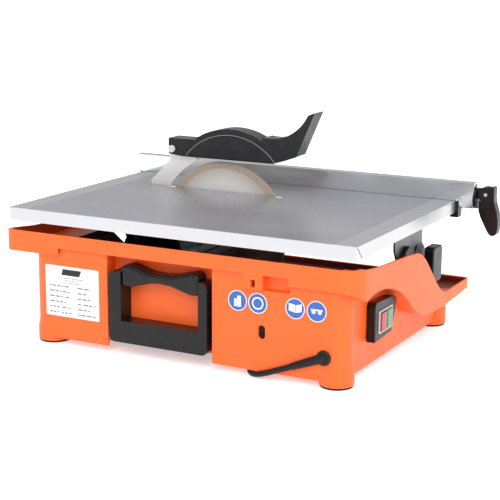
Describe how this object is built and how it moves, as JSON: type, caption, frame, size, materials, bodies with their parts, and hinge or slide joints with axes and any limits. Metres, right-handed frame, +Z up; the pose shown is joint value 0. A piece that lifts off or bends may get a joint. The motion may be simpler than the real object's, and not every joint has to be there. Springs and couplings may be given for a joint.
{
  "type": "tile cutter",
  "caption": "Wet tile cutter: moulded water tub, tilting slotted steel table with a sliding fence, diamond blade under a lifting guard, carrying handle on one side.",
  "frame": {"origin": "on the floor under the middle of the whole machine, tub, table, fence and lever together", "axes": "+Y from the operator's edge to the rear, along the blade's cut; +X to the operator's right; +Z up"},
  "size_m": [0.5308, 0.5858, 0.306],
  "materials": {
    "orange_plastic": "satin moulded",
    "black_plastic": "satin moulded",
    "black_rubber": "soft",
    "washer_steel": "black oxide",
    "bright_steel": "plated",
    "table_steel": "galvanised sheet",
    "plate_steel": "grey coated",
    "motor_alloy": "die cast",
    "fence_aluminium": "anodised",
    "blade_steel": "ground",
    "diamond_bond": "sintered, dull",
    "copper_winding": "varnished copper",
    "white_coat": "smooth",
    "label_film": "printed film",
    "blue_film": "printed film",
    "silver_trim": "silver moulded",
    "green_plastic": "moulded",
    "red_plastic": "moulded"
  },
  "bodies": {
    "machine": {"body_tub": "orange_plastic", "rubber_feet": "black_rubber", "drain_plug": "black_plastic", "handle_frame": "black_plastic", "handle_grip": "black_plastic", "handle_screws": "bright_steel", "rating_label": "label_film", "round_stickers": "blue_film", "cord_gland": "black_plastic", "cord_sleeve": "black_rubber", "mains_cord": "black_rubber", "cord_coil": "black_rubber", "plug_lead": "black_rubber", "plug_body": "black_rubber", "plug_pins": "bright_steel", "switch_housing": "black_plastic", "switch_frame": "silver_trim", "switch_body": "black_plastic", "motor_housing": "motor_alloy", "blade_end_bell": "motor_alloy", "fan_end_bell": "motor_alloy", "fan_cover": "black_plastic", "stator": "copper_winding", "bearings": "bright_steel", "motor_cradle": "plate_steel", "cradle_screws": "bright_steel", "capacitor": "motor_alloy", "riving_knife": "blade_steel", "knife_screws": "bright_steel", "guard_bolt": "white_coat", "trunnion_plates": "plate_steel", "trunnion_screws": "bright_steel", "pivot_bolts": "bright_steel", "guide_washers": "washer_steel"},
    "table": {"table_top": "table_steel", "table_rails": "table_steel", "sector_plates": "plate_steel", "clamp_bolts": "bright_steel"},
    "fence": {"fence_bar": "fence_aluminium", "fence_head": "fence_aluminium", "fence_jaw": "black_plastic", "fence_tail": "black_plastic", "fence_screws": "bright_steel", "lever_block": "black_plastic", "lever_pin": "bright_steel"},
    "fence_lever": {"fence_lever": "black_plastic"},
    "guard": {"guard": "black_plastic"},
    "spindle": {"rotor_shaft": "bright_steel", "cooling_fan": "black_plastic", "inner_flange": "bright_steel", "blade_core": "blade_steel", "diamond_rim": "diamond_bond", "outer_flange": "bright_steel", "blade_nut": "bright_steel"},
    "front_knob": {"front_knob": "black_plastic"},
    "rear_knob": {"rear_knob": "black_plastic"},
    "start_button": {"start_button": "green_plastic"},
    "stop_button": {"stop_button": "red_plastic"}
  },
  "joints": [
    {"name": "table_tilt", "type": "hinge", "parent": "machine", "child": "table", "pos_m": [0.0244, 0, 0.174], "axis": [0, 1, 0], "range_deg": [0, 45]},
    {"name": "fence_slide", "type": "slide", "parent": "table", "child": "fence", "axis": [1, 0, 0], "range_m": [-0.078, 0.016]},
    {"name": "fence_lever_swing", "type": "hinge", "parent": "fence", "child": "fence_lever", "pos_m": [0.1444, -0.2735, 0.195], "axis": [-1, 0, 0], "range_deg": [0, 85]},
    {"name": "guard_lift", "type": "hinge", "parent": "machine", "child": "guard", "pos_m": [0.0469, 0.1639, 0.2406], "axis": [-1, 0, 0], "range_deg": [0, 60]},
    {"name": "blade_spin", "type": "hinge", "parent": "machine", "child": "spindle", "pos_m": [0.0444, 0.0841, 0.126], "axis": [1, 0, 0], "continuous": true},
    {"name": "front_knob_turn", "type": "hinge", "parent": "table", "child": "front_knob", "pos_m": [0.08334, -0.2205, 0.10401], "axis": [0, 1, 0], "range_deg": [0, 90]},
    {"name": "rear_knob_turn", "type": "hinge", "parent": "table", "child": "rear_knob", "pos_m": [0.08334, 0.2325, 0.10401], "axis": [0, 1, 0], "range_deg": [0, 90]},
    {"name": "start_press", "type": "slide", "parent": "machine", "child": "start_button", "axis": [0, 1, 0], "range_m": [0, 0.003], "stiffness_N_per_m": 600},
    {"name": "stop_press", "type": "slide", "parent": "machine", "child": "stop_button", "axis": [0, 1, 0], "range_m": [0, 0.003], "stiffness_N_per_m": 600}
  ]
}
